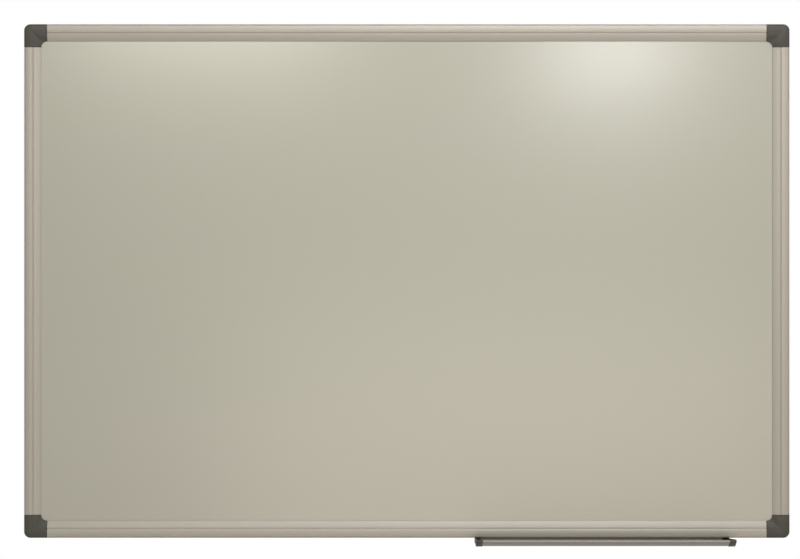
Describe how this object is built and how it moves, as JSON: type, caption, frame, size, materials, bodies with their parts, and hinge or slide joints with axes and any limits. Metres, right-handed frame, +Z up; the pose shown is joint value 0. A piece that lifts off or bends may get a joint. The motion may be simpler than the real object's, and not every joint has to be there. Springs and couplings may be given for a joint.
{
  "type": "magnetic whiteboard",
  "caption": "Wall-hung magnetic whiteboard in an aluminium frame, with capped plastic corners that cover its wall screws and a pen tray that slides along the bottom rail.",
  "frame": {"origin": "middle of the board's outline, in the plane of the wall that it hangs on", "axes": "+X to the right as seen from the front, +Z up, +Y into the wall, so that the writing surface faces -Y"},
  "size_m": [0.9, 0.0677, 0.6106],
  "materials": {
    "lacquered_steel": "gloss",
    "fibreboard": "matte",
    "galvanised_steel": "satin",
    "anodised_aluminium": "satin",
    "tray_aluminium": "satin",
    "bracket_plastic": "matte",
    "cap_plastic": "satin",
    "zinc_plated_steel": "satin"
  },
  "bodies": {
    "board": {"writing_sheet": "lacquered_steel", "core_board": "fibreboard", "backing_sheet": "galvanised_steel", "top_rail": "anodised_aluminium", "right_rail": "anodised_aluminium", "bottom_rail": "anodised_aluminium", "left_rail": "anodised_aluminium", "corner_bracket_top_left": "bracket_plastic", "corner_bracket_top_right": "bracket_plastic", "corner_bracket_bottom_right": "bracket_plastic", "corner_bracket_bottom_left": "bracket_plastic", "fixing_screw_top_left_across": "zinc_plated_steel", "fixing_screw_top_left_down": "zinc_plated_steel", "fixing_screw_top_right_across": "zinc_plated_steel", "fixing_screw_top_right_down": "zinc_plated_steel", "fixing_screw_bottom_right_across": "zinc_plated_steel", "fixing_screw_bottom_right_down": "zinc_plated_steel", "fixing_screw_bottom_left_across": "zinc_plated_steel", "fixing_screw_bottom_left_down": "zinc_plated_steel"},
    "tray": {"pen_tray": "tray_aluminium", "tray_end_cap_left": "cap_plastic", "tray_end_cap_right": "cap_plastic"},
    "cap_top_left": {"corner_cap_top_left": "cap_plastic"},
    "cap_top_right": {"corner_cap_top_right": "cap_plastic"},
    "cap_bottom_right": {"corner_cap_bottom_right": "cap_plastic"},
    "cap_bottom_left": {"corner_cap_bottom_left": "cap_plastic"}
  },
  "joints": [
    {"name": "tray_slide", "type": "slide", "parent": "board", "child": "tray", "axis": [1, 0, 0], "range_m": [-0.5023, 0.043]},
    {"name": "cap_top_left_pull", "type": "slide", "parent": "board", "child": "cap_top_left", "axis": [0, -1, 0], "range_m": [0, 0.015]},
    {"name": "cap_top_right_pull", "type": "slide", "parent": "board", "child": "cap_top_right", "axis": [0, -1, 0], "range_m": [0, 0.015]},
    {"name": "cap_bottom_right_pull", "type": "slide", "parent": "board", "child": "cap_bottom_right", "axis": [0, -1, 0], "range_m": [0, 0.015]},
    {"name": "cap_bottom_left_pull", "type": "slide", "parent": "board", "child": "cap_bottom_left", "axis": [0, -1, 0], "range_m": [0, 0.015]}
  ]
}
